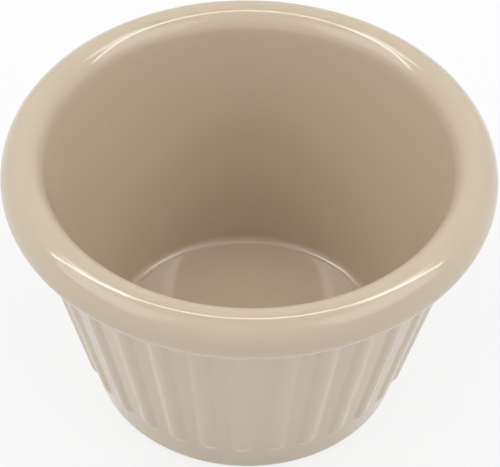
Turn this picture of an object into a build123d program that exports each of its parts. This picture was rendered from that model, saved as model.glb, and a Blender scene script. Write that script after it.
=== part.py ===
from build123d import *
from math import cos, radians, sin, tan
import os

# Fluted ramekin, moulded in one piece. Millimetres, +Z up.
# The origin is the middle of the foot, on the table. One rib faces -Y.

# Overall form
height = 49.3
rim_radius = 40.0  # widest circle of the rolled rim
wall_draft = 13.5  # lean of the fluted wall, in degrees
cavity_draft = 12.3  # lean of the inner wall, in degrees

# Rolled rim
rim_roll = 3.7  # from the crest circle out to the widest circle
rim_drop = 4.75  # from the crest down to the widest circle
rim_depth = 7.9  # from the crest down to the underside of the rim
rim_overhang = 3.7  # from the plain band out to the widest circle
lip_radius = 2.5  # rounding from the crest into the cavity

# Plain band under the rim, a little prouder than the ribs
band_proud = 0.68
band_depth = 10.9  # from the crest down to where the band starts to fade
band_fade = 1.2  # height over which the band drops back to the fluted wall

# Ribs between the flutes. Each has a round crown and a round lower end, and
# shrinks with the wall's radius on the way down.
rib_count = 32
rib_width = 3.9  # where the crown meets the wall, at the band
rib_proud = 0.62  # at the band
rib_end_height = 8.2  # centre of the round lower end, above the table

# Floor and foot
floor_height = 4.3  # top of the floor, above the table
floor_round = 1.4  # rounding between the floor and the inner wall
foot_round = 2.4  # rounding at the bottom of the fluted wall
foot_land = 2.0  # flat ring that the ramekin stands on
foot_recess = 1.2  # depth of the hollow under the floor
foot_bevel = 0.4

overrun = 1.0  # how far a cut or a rib runs past what it meets
round_steps = 5  # straight steps in a rounding of the rim
corner_steps = 3  # and in a rounding of the floor or the foot

# Fluted wall
lean = tan(radians(wall_draft))
band_radius = rim_radius - rim_overhang
band_offset = band_proud / cos(radians(wall_draft))
rim_underside = height - rim_depth
wall_foot_radius = band_radius - band_offset - rim_underside * lean
band_end = height - band_depth
fade_end = band_end - band_fade


def wall_radius(z):
    return wall_foot_radius + z * lean


def rounding(center, reach, start, sweep, steps):
    """Points along a quarter round or less, with reach as (across, up)."""
    turns = [radians(start + sweep * step / steps) for step in range(steps + 1)]
    return [
        (center[0] + reach[0] * cos(turn), center[1] + reach[1] * sin(turn))
        for turn in turns
    ]


# Outside of the bowl, from the foot up over the rim to the crest
crest_radius = rim_radius - rim_roll
widest_z = height - rim_drop
bead_radius = rim_depth - rim_drop
foot_reach = foot_round * tan(radians(90 - wall_draft) / 2)
foot_radius = wall_foot_radius - foot_reach
foot = rounding(
    (foot_radius, foot_round), (foot_round, foot_round), -90, 90 - wall_draft, corner_steps
)
bead = rounding(
    (rim_radius - bead_radius, widest_z), (bead_radius, bead_radius), -90, 90, round_steps
)
roll = rounding((crest_radius, widest_z), (rim_roll, rim_drop), 0, 90, round_steps)

with BuildPart() as ramekin:
    with BuildSketch(Plane.XZ):
        with BuildLine():
            Polyline(
                (0, 0),
                *foot,
                (wall_radius(fade_end), fade_end),
                (wall_radius(band_end) + band_offset, band_end),
                (band_radius, rim_underside),
                *bead,
                *roll[1:],
                (0, height),
                close=True,
            )
        make_face()
    revolve(axis=Axis.Z)

# One rib: a tapered round bar sunk in the wall, with a ball at its lower end
crown_radius = (rib_width**2 / 4 + rib_proud**2) / (2 * rib_proud)


def rib_shrink(z):
    return wall_radius(z) / wall_radius(band_end)


def rib_center(z):
    sunk = (crown_radius - rib_proud) * rib_shrink(z)
    inward = Vector(-cos(radians(wall_draft)), 0, sin(radians(wall_draft)))
    return Vector(wall_radius(z), 0, z) + inward * sunk


rib_top = band_end + overrun
rib_line = rib_center(rib_top) - rib_center(rib_end_height)
with BuildPart() as rib:
    with Locations(Plane(origin=rib_center(rib_end_height), z_dir=rib_line)):
        Cone(
            crown_radius * rib_shrink(rib_end_height),
            crown_radius * rib_shrink(rib_top),
            rib_line.length,
            align=(Align.CENTER, Align.CENTER, Align.MIN),
        )
        Sphere(crown_radius * rib_shrink(rib_end_height))

# Cavity, from the lip down to the floor
lip_center = (crest_radius, height - lip_radius)
lip = rounding(lip_center, (lip_radius, lip_radius), 90, 90 - cavity_draft, round_steps)
lip_end_r, lip_end_z = lip[-1]
floor_radius = lip_end_r - (lip_end_z - floor_height) * tan(radians(cavity_draft))
floor_reach = floor_round * tan(radians(90 - cavity_draft) / 2)
floor_center = (floor_radius - floor_reach, floor_height + floor_round)
floor_corner = rounding(
    floor_center, (floor_round, floor_round), -cavity_draft, cavity_draft - 90, corner_steps
)

with ramekin:
    with PolarLocations(0, rib_count, start_angle=-90):
        add(rib.part)
    with BuildSketch(Plane.XZ):
        with BuildLine():
            Polyline(
                (0, height + overrun),
                (crest_radius, height + overrun),
                *lip,
                *floor_corner,
                (0, floor_height),
                close=True,
            )
        make_face()
    revolve(axis=Axis.Z, mode=Mode.SUBTRACT)
    with BuildSketch(Plane.XY):
        Circle(foot_radius - foot_land)
    extrude(amount=foot_recess, mode=Mode.SUBTRACT)
    foot_face = ramekin.faces().filter_by(Axis.Z).sort_by(Axis.Z)[0]
    chamfer(foot_face.inner_wires()[0].edges(), foot_bevel)

ramekin.part.label = "ramekin"
os.makedirs("parts", exist_ok=True)
export_step(ramekin.part, "parts/ramekin.step")
print("ramekin", ramekin.part.volume)
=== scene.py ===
import bpy
from math import atan2, cos, pi, radians, sin, tan
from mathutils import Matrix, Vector


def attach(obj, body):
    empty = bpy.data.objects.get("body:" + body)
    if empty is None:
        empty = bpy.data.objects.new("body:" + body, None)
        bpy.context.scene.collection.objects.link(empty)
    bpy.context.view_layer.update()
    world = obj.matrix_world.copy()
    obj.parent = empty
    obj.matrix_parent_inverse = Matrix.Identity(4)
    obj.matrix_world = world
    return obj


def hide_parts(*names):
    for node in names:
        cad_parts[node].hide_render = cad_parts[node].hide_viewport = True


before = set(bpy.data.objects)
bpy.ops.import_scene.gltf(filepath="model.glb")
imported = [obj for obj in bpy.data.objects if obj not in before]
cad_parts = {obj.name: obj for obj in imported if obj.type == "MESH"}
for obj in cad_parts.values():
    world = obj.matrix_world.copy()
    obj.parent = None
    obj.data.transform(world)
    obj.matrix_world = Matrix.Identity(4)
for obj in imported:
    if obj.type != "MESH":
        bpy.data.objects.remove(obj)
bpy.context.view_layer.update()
print("frame loaded")

# The dish in metres, as it stands on the table. Its inside is an open cavity.
bowl = dict(
    height=0.0493,
    rimRadius=0.040,
    wallDraft=radians(13.5),
    cavityDraft=radians(11.5),
    rimRoll=0.0037,  # crest circle out to the widest circle
    rimDrop=0.00475,  # crest down to the widest circle
    rimDepth=0.0079,  # crest down to the underside of the rim
    rimOverhang=0.0037,  # plain band out to the widest circle
    rimRootRound=0.0005,  # between the plain band and the underside of the rim
    lipReach=0.0036,  # half width of the oval that rounds the crest into the cavity
    lipDrop=0.0046,  # and its half height
    bandProud=0.00068,  # the plain band, a little prouder than the ribs
    bandDepth=0.0109,  # crest down to where the band starts to fade
    bandFade=0.0012,  # height over which it drops back to the fluted wall
    floorHeight=0.0043,
    floorRound=0.0014,  # between the floor and the inner wall
    footRound=0.0024,  # at the bottom of the fluted wall
    footLand=0.0020,  # width of the flat ring that the dish stands on
    footRecess=0.0012,  # depth of the hollow under the floor
    footRecessRound=0.0005,
    footEdgeRound=0.0004,
)

ribs = dict(
    count=32,
    width=0.0039,  # where the crown meets the wall, at the band
    proud=0.00062,  # of the crown over the wall, at the band
    endHeight=0.0082,  # centre of the round lower end, above the table
    endZone=0.0095,  # the mesh has closer rows up to this height
    softJoin=0.00030,  # how softly a rib meets the wall
    columnsEach=18,  # columns of the mesh to each rib
)

# straight steps in each stretch of the section, so rows in the mesh
steps = dict(
    recess=5,
    smallRound=3,
    footRound=7,
    ribEnds=22,
    ribs=22,
    bandFade=7,
    band=4,
    rimRoot=4,
    bead=10,
    roll=14,
    lip=14,
    innerWall=12,
    floorRound=12,
    floor=7,
)


def arcPoints(center, reach, start, sweep, count):
    turns = [start + sweep * step / count for step in range(count + 1)]
    return [(center[0] + reach[0] * cos(t), center[1] + reach[1] * sin(t)) for t in turns]


def between(a, b, count):
    # evenly spaced points between a and b, without the two ends
    shares = [step / count for step in range(1, count)]
    return [(a[0] + (b[0] - a[0]) * k, a[1] + (b[1] - a[1]) * k) for k in shares]


def roundedCorner(before, corner, after, radius, count):
    # arc that touches both straight sides of a corner
    inward = atan2(before[1] - corner[1], before[0] - corner[0])
    outward = atan2(after[1] - corner[1], after[0] - corner[0])
    opening = (outward - inward + pi) % (2 * pi) - pi
    side = 1 if opening > 0 else -1
    reach = radius / sin(abs(opening) / 2)
    middle = inward + opening / 2
    center = (corner[0] + reach * cos(middle), corner[1] + reach * sin(middle))
    sweep = -side * (pi - abs(opening))
    return arcPoints(center, (radius, radius), inward - side * pi / 2, sweep, count)


def bowlSection(s, endZone, count):
    # rows of (radius, height, how proud of the wall, on the ribbed wall or not), from
    # the axis under the floor, out over the rim, and back to the axis inside
    lean = tan(s["wallDraft"])
    bandRadius = s["rimRadius"] - s["rimOverhang"]
    underside = s["height"] - s["rimDepth"]
    bandOffset = s["bandProud"] / cos(s["wallDraft"])
    footRadius = bandRadius - bandOffset - underside * lean
    bandEnd = s["height"] - s["bandDepth"]
    fadeEnd = bandEnd - s["bandFade"]
    ringRadius = footRadius - s["footRound"] * tan((pi / 2 - s["wallDraft"]) / 2)
    recessRadius = ringRadius - s["footLand"]
    widest = s["height"] - s["rimDrop"]
    bead = s["rimDepth"] - s["rimDrop"]
    crest = s["rimRadius"] - s["rimRoll"]

    def wall(z):
        return (footRadius + z * lean, z)

    recessMiddle = (0, s["footRecess"])
    recessTop = (recessRadius, s["footRecess"])
    recessEdge = (recessRadius, 0)
    foot = [recessMiddle] + between(recessMiddle, recessTop, count["recess"])
    foot += roundedCorner(
        recessMiddle, recessTop, recessEdge, s["footRecessRound"], count["smallRound"]
    )
    foot += roundedCorner(
        recessTop, recessEdge, wall(0), s["footEdgeRound"], count["smallRound"]
    )
    foot += roundedCorner(
        recessEdge, wall(0), wall(fadeEnd), s["footRound"], count["footRound"]
    )
    rows = [(r, z, 0, 0) for r, z in foot]

    zoneTop = wall(endZone)
    flutes = between(foot[-1], zoneTop, count["ribEnds"]) + [zoneTop]
    flutes += between(zoneTop, wall(fadeEnd), count["ribs"])
    rows += [(r, z, 0, 1) for r, z in flutes]

    for step in range(count["bandFade"] + 1):
        k = step / count["bandFade"]
        soft = k * k * (3 - 2 * k)  # eased at both ends
        r, z = wall(fadeEnd + (bandEnd - fadeEnd) * k)
        rows.append((r + bandOffset * soft, z, s["bandProud"] * soft, 1))

    bandFoot = rows[-1][:2]
    bandTop = (bandRadius, underside)
    beadFoot = (s["rimRadius"] - bead, underside)
    rimRoot = roundedCorner(
        bandFoot, bandTop, beadFoot, s["rimRootRound"], count["rimRoot"]
    )
    band = between(bandFoot, rimRoot[0], count["band"]) + rimRoot
    rows += [(r, z, s["bandProud"], 0) for r, z in band]

    rim = arcPoints((beadFoot[0], widest), (bead, bead), -pi / 2, pi / 2, count["bead"])
    rollReach = (s["rimRoll"], s["rimDrop"])
    rim += arcPoints((crest, widest), rollReach, 0, pi / 2, count["roll"])[1:]
    lipCenter = (crest, s["height"] - s["lipDrop"])
    lipReach = (s["lipReach"], s["lipDrop"])
    lipSweep = pi / 2 - atan2(s["lipDrop"] * tan(s["cavityDraft"]), s["lipReach"])
    rim += arcPoints(lipCenter, lipReach, pi / 2, lipSweep, count["lip"])[1:]
    lipEnd = rim[-1]

    # the inner wall, the corner and the floor
    draft, cornerRound = s["cavityDraft"], s["floorRound"]
    cornerHeight = s["floorHeight"] + cornerRound
    wallFootHeight = cornerHeight - cornerRound * sin(draft)
    wallFootRadius = lipEnd[0] - (lipEnd[1] - wallFootHeight) * tan(draft)
    cornerRadius = wallFootRadius - cornerRound * cos(draft)
    cornerCenter = (cornerRadius, cornerHeight)
    cornerReach = (cornerRound, cornerRound)
    cornerSweep = draft - pi / 2
    corner = arcPoints(cornerCenter, cornerReach, -draft, cornerSweep, count["floorRound"])
    floorMiddle = (0, s["floorHeight"])
    inside = between(lipEnd, corner[0], count["innerWall"]) + corner
    inside += between(corner[-1], floorMiddle, count["floor"]) + [floorMiddle]
    rows += [(r, z, 0, 0) for r, z in rim + inside]
    return rows, wall(bandEnd)[0]


section, bandWallRadius = bowlSection(bowl, ribs["endZone"], steps)
sectionMesh = bpy.data.meshes.new("bowlSection")
sectionMesh.from_pydata(
    [(r, 0, z) for r, z, _, _ in section],
    [(row, row + 1) for row in range(len(section) - 1)],
    [],
)
for column, name in ((2, "proud"), (3, "onWall")):
    layer = sectionMesh.attributes.new(name, "FLOAT", "POINT")
    layer.data.foreach_set("value", [row[column] for row in section])
sectionObject = bpy.data.objects.new("bowlSection", sectionMesh)
bpy.context.collection.objects.link(sectionObject)
print("section drawn,", len(section), "rows")


def treeTools(tree):
    # short forms: plug sets or links one input, add makes a node, and calc makes a
    # Math node and gives its result
    def plug(socket, value):
        if isinstance(value, bpy.types.NodeSocket):
            tree.links.new(value, socket)
        else:
            socket.default_value = value

    def add(kind, inputs=(), **settings):
        made = tree.nodes.new(kind)
        for name, value in settings.items():
            setattr(made, name, value)
        for name, value in dict(inputs).items():
            plug(made.inputs[name], value)
        return made

    def calc(operation, *values):
        made = add("ShaderNodeMath", operation=operation)
        for slot, value in enumerate(values):
            plug(made.inputs[slot], value)
        return made.outputs[0]

    return plug, add, calc


mergeReach = 1e-7  # closes the seam at the front and the points on the axis


def makeFlutedBowlTree():
    tree = bpy.data.node_groups.new("flutedBowl", "GeometryNodeTree")
    _, add, calc = treeTools(tree)
    wanted = (
        ("Section", "NodeSocketGeometry"),
        ("Rib Count", "NodeSocketInt"),
        ("Columns Each", "NodeSocketInt"),
        ("Rib Width", "NodeSocketFloat"),
        ("Rib Proud", "NodeSocketFloat"),
        ("Rib End Height", "NodeSocketFloat"),
        ("Soft Join", "NodeSocketFloat"),
        ("Band Proud", "NodeSocketFloat"),
        ("Band Wall Radius", "NodeSocketFloat"),
        ("Wall Draft", "NodeSocketFloat"),
        ("Finish", "NodeSocketMaterial"),
    )
    for name, kind in wanted:
        tree.interface.new_socket(name, in_out="INPUT", socket_type=kind)
    tree.interface.new_socket("Bowl", in_out="OUTPUT", socket_type="NodeSocketGeometry")
    given = add("NodeGroupInput").outputs
    ribCount = given["Rib Count"]

    # a sheet with one row for each point of the section, wrapped round the axis
    sectionSize = add("GeometryNodeAttributeDomainSize", {"Geometry": given["Section"]})
    rowCount = sectionSize.outputs["Point Count"]
    columns = calc("MULTIPLY", ribCount, given["Columns Each"])
    sheet = add("GeometryNodeMeshGrid", {
        "Size X": 1.0, "Size Y": 1.0,
        "Vertices X": calc("ADD", columns, 1), "Vertices Y": rowCount,
    }).outputs["Mesh"]
    here = add("GeometryNodeInputPosition").outputs[0]
    place = add("ShaderNodeSeparateXYZ", {0: here}).outputs
    turn = calc("ADD", place["X"], 0.5)
    upSheet = calc("ADD", place["Y"], 0.5)
    row = calc("ROUND", calc("MULTIPLY", upSheet, calc("SUBTRACT", rowCount, 1)))

    def namedField(name):
        field = add("GeometryNodeInputNamedAttribute", {"Name": name}, data_type="FLOAT")
        return field.outputs["Attribute"]

    def fromSection(kind, value):
        # what the section has at this row
        return add(
            "GeometryNodeSampleIndex",
            {"Geometry": given["Section"], "Value": value, "Index": row},
            data_type=kind,
        ).outputs["Value"]

    position = fromSection("FLOAT_VECTOR", here)
    proud = fromSection("FLOAT", namedField("proud"))
    onWall = fromSection("FLOAT", namedField("onWall"))
    sectionPlace = add("ShaderNodeSeparateXYZ", {0: position}).outputs
    radius, height = sectionPlace["X"], sectionPlace["Z"]

    # how far a point is from the nearest rib's line, at the size the rib has at the
    # band, and how far below the rib's round end
    shrink = calc("DIVIDE", radius, given["Band Wall Radius"])
    step = calc("FRACT", calc("ADD", calc("MULTIPLY", turn, ribCount), 0.5))
    aside = calc("DIVIDE", calc("MULTIPLY", calc("SUBTRACT", step, 0.5), 2 * pi), ribCount)
    across = calc("MULTIPLY", aside, given["Band Wall Radius"])
    below = calc("DIVIDE", calc("SUBTRACT", given["Rib End Height"], height),
                 calc("COSINE", given["Wall Draft"]))
    past = calc("DIVIDE", calc("MAXIMUM", below, 0.0), shrink)
    apart = calc("ADD", calc("MULTIPLY", across, across), calc("MULTIPLY", past, past))

    # round crown of the rib over the wall, joined softly to it
    halfWidth = calc("MULTIPLY", given["Rib Width"], 0.5)
    ribProud = given["Rib Proud"]
    squares = calc("ADD", calc("MULTIPLY", halfWidth, halfWidth),
                   calc("MULTIPLY", ribProud, ribProud))
    crown = calc("DIVIDE", squares, calc("MULTIPLY", ribProud, 2.0))
    room = calc("MAXIMUM", calc("SUBTRACT", calc("MULTIPLY", crown, crown), apart), 0.0)
    crownHeight = calc("SUBTRACT", calc("SQRT", room), calc("SUBTRACT", crown, ribProud))
    clear = calc("SUBTRACT", 1.0, calc("DIVIDE", proud, given["Band Proud"]))
    surface = calc("SMOOTH_MAX", calc("MULTIPLY", crownHeight, shrink), proud,
                   calc("MULTIPLY", given["Soft Join"], clear))
    lift = calc("MULTIPLY", calc("SUBTRACT", surface, proud), onWall)

    # wrap the sheet round, lifted square to the wall, with column 0 at the front
    outward = calc("ADD", radius,
                   calc("MULTIPLY", lift, calc("COSINE", given["Wall Draft"])))
    upward = calc("SUBTRACT", height,
                  calc("MULTIPLY", lift, calc("SINE", given["Wall Draft"])))
    angle = calc("MULTIPLY", turn, 2 * pi)
    wrapped = add("ShaderNodeCombineXYZ", {
        "X": calc("MULTIPLY", outward, calc("SINE", angle)),
        "Y": calc("MULTIPLY", calc("MULTIPLY", outward, calc("COSINE", angle)), -1.0),
        "Z": upward,
    }).outputs[0]
    moved = {"Geometry": sheet, "Position": wrapped}
    shell = add("GeometryNodeSetPosition", moved).outputs[0]
    seam = {"Geometry": shell, "Distance": mergeReach}
    shell = add("GeometryNodeMergeByDistance", seam).outputs[0]
    shade = {"Geometry": shell, "Shade Smooth": True}
    shell = add("GeometryNodeSetShadeSmooth", shade).outputs[0]
    shell = add("GeometryNodeRealizeInstances", {"Geometry": shell}).outputs[0]
    coat = {"Geometry": shell, "Material": given["Finish"]}
    shell = add("GeometryNodeSetMaterial", coat).outputs[0]
    add("NodeGroupOutput", {"Bowl": shell})
    return tree


beige = dict(
    color=(0.532, 0.441, 0.328),
    lighter=(0.547, 0.456, 0.341),  # of the faint clouding
    cloudScale=90.0,
    cloudDetail=4.0,
    roughness=(0.09, 0.12),
    glossScale=225.0,  # of the patches where the gloss differs
    glossDetail=3.0,
    ior=1.6,
    skinScale=2600.0,  # fine moulded skin
    skinDetail=2.0,
    skinHeight=0.000004,
)


def beigePlastic(s):
    finish = bpy.data.materials.new("beigePlastic")
    finish.use_nodes = True
    tree = finish.node_tree
    tree.nodes.clear()
    plug, add, _ = treeTools(tree)
    place = add("ShaderNodeTexCoord").outputs["Object"]

    def noise(scale, detail):
        grain = {"Vector": place, "Scale": scale, "Detail": detail}
        return add("ShaderNodeTexNoise", grain).outputs["Fac"]

    clouds = noise(s["cloudScale"], s["cloudDetail"])
    tint = add("ShaderNodeMix", {"Factor": clouds}, data_type="RGBA")
    # the colours go by number, because this node has several sockets named A and B
    plug(tint.inputs[6], (*s["color"], 1))
    plug(tint.inputs[7], (*s["lighter"], 1))
    gloss = add("ShaderNodeMapRange", {
        "Value": noise(s["glossScale"], s["glossDetail"]),
        "To Min": s["roughness"][0],
        "To Max": s["roughness"][1],
    }).outputs[0]
    skin = add("ShaderNodeBump", {
        "Height": noise(s["skinScale"], s["skinDetail"]),
        "Distance": s["skinHeight"],
        "Strength": 1.0,
    }).outputs[0]
    shader = add("ShaderNodeBsdfPrincipled", {
        "Base Color": tint.outputs[2],
        "Roughness": gloss,
        "Normal": skin,
        "IOR": s["ior"],
    })
    add("ShaderNodeOutputMaterial", {"Surface": shader.outputs[0]})
    return finish


def setInputs(modifier, values):
    # a modifier's inputs go by the identifiers of the tree's sockets
    for item in modifier.node_group.interface.items_tree:
        if item.item_type == "SOCKET" and item.in_out == "INPUT" and item.name in values:
            modifier[item.identifier] = values[item.name]


maker = sectionObject.modifiers.new("flutedBowl", "NODES")
maker.node_group = makeFlutedBowlTree()
setInputs(maker, {
    "Rib Count": ribs["count"],
    "Columns Each": ribs["columnsEach"],
    "Rib Width": ribs["width"],
    "Rib Proud": ribs["proud"],
    "Rib End Height": ribs["endHeight"],
    "Soft Join": ribs["softJoin"],
    "Band Proud": bowl["bandProud"],
    "Band Wall Radius": bandWallRadius,
    "Wall Draft": bowl["wallDraft"],
    "Finish": beigePlastic(beige),
})
made = sectionObject.evaluated_get(bpy.context.evaluated_depsgraph_get())
ramekinMesh = bpy.data.meshes.new_from_object(made)
ramekinMesh.name = "ramekinBody"
sectionObject.modifiers.remove(maker)
bpy.data.objects.remove(sectionObject)
ramekin = bpy.data.objects.new("ramekinBody", ramekinMesh)
bpy.context.collection.objects.link(ramekin)
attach(ramekin, "root")
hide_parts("ramekin")
print("bowl made,", len(ramekinMesh.vertices), "points")

floor = dict(
    size=8.0,
    color=(0.80, 0.80, 0.80),
    whiteShare=0.8,  # plain white in what the camera and the gloss see, the rest lit
)


def paleFloor(s):
    half = s["size"] / 2
    mesh = bpy.data.meshes.new("floor")
    corners = [(-half, -half, 0), (half, -half, 0), (half, half, 0), (-half, half, 0)]
    mesh.from_pydata(corners, [], [(0, 1, 2, 3)])
    finish = bpy.data.materials.new("paleFloor")
    finish.use_nodes = True
    tree = finish.node_tree
    tree.nodes.clear()
    _, add, calc = treeTools(tree)
    rays = add("ShaderNodeLightPath").outputs
    seen = calc("MAXIMUM", rays["Is Camera Ray"], rays["Is Glossy Ray"])
    seen = calc("MAXIMUM", seen, rays["Is Transmission Ray"])
    white = add("ShaderNodeEmission", {"Color": (1, 1, 1, 1), "Strength": 1.0}).outputs[0]
    matt = add("ShaderNodeBsdfDiffuse", {"Color": (*s["color"], 1)}).outputs[0]
    share = calc("MULTIPLY", seen, s["whiteShare"])
    mixed = add("ShaderNodeMixShader", {0: share, 1: matt, 2: white})
    add("ShaderNodeOutputMaterial", {"Surface": mixed.outputs[0]})
    mesh.materials.append(finish)
    ground = bpy.data.objects.new("floor", mesh)
    bpy.context.collection.objects.link(ground)
    return ground


paleFloor(floor)

# A sky that is pale at the horizon and dark overhead, soft boxes to the left and
# right, and a long thin strip close over the dish, which draws the bright lines on the
# rim and round the floor. A lamp's level is the brightness of its lit face.
studio = dict(
    sky=((0, 0.79), (30, 0.71), (60, 0.34), (75, 0.0), (90, 0.0)),  # elevation, level
    boxDistance=1.15,
    boxAimHeight=0.03,
    # turn is azimuth from the front, to the right, and elevation, in degrees
    boxes=(
        dict(name="leftBox", turn=(-62, 36), size=(0.95, 0.73), level=1.25),
        dict(name="rightBox", turn=(62, 36), size=(0.95, 0.73), level=1.2),
        dict(name="leftUpper", turn=(-105, 60), size=(0.35, 0.35), level=4.0),
        dict(name="rightUpper", turn=(105, 60), size=(0.35, 0.35), level=3.7),
    ),
    strip=dict(name="overStrip", place=(0, 0.013, 0.34), size=(1.05, 0.03), level=7.8),
)


def addLamp(s, place, aim):
    lamp = bpy.data.lights.new(s["name"], "AREA")
    lamp.shape = "RECTANGLE"
    lamp.size, lamp.size_y = s["size"]
    lamp.energy = s["level"] * pi * lamp.size * lamp.size_y
    holder = bpy.data.objects.new(s["name"], lamp)
    holder.location = place
    away = Vector(place) - Vector(aim)
    holder.rotation_euler = away.to_track_quat("Z", "Y").to_euler()
    bpy.context.collection.objects.link(holder)


def lightStudio(s):
    world = bpy.data.worlds.new("studio")
    bpy.context.scene.world = world
    world.use_nodes = True
    tree = world.node_tree
    tree.nodes.clear()
    _, add, _ = treeTools(tree)
    direction = add("ShaderNodeTexCoord").outputs["Generated"]
    upward = add("ShaderNodeSeparateXYZ", {0: direction}).outputs["Z"]
    graded = add("ShaderNodeValToRGB", {0: upward})
    stops = graded.color_ramp.elements
    while len(stops) > 1:
        stops.remove(stops[-1])
    for number, (elevation, level) in enumerate(s["sky"]):
        upwardShare = sin(radians(elevation))
        stop = stops.new(upwardShare) if number else stops[0]
        stop.position = upwardShare
        stop.color = (level, level, level, 1)
    around = add("ShaderNodeBackground", {"Color": graded.outputs[0], "Strength": 1.0})
    add("ShaderNodeOutputWorld", {"Surface": around.outputs[0]})
    for box in s["boxes"]:
        azimuth, elevation = (radians(angle) for angle in box["turn"])
        aside = s["boxDistance"] * cos(elevation)
        rise = s["boxDistance"] * sin(elevation) + s["boxAimHeight"]
        place = (aside * sin(azimuth), -aside * cos(azimuth), rise)
        addLamp(box, place, (0, 0, s["boxAimHeight"]))
    strip = s["strip"]
    across, along, _ = strip["place"]
    addLamp(strip, strip["place"], (across, along, 0))  # straight down


lightStudio(studio)

camera = dict(
    place=(0.00370, -0.26494, 0.29301),
    turn=(radians(45.214), radians(-0.775), radians(1.509)),
    sensor=36,  # millimetres, as is the lens
    lens=162.33,
    nearest=0.01,
    farthest=50,
)


def placeCamera(s):
    lens = bpy.data.cameras.new("camera")
    lens.sensor_width = s["sensor"]
    lens.lens = s["lens"]
    lens.clip_start, lens.clip_end = s["nearest"], s["farthest"]
    holder = bpy.data.objects.new("camera", lens)
    holder.location = s["place"]
    holder.rotation_euler = s["turn"]
    bpy.context.collection.objects.link(holder)
    bpy.context.scene.camera = holder


placeCamera(camera)
bpy.context.scene.view_settings.view_transform = "Standard"
print("floor, lights and camera set")
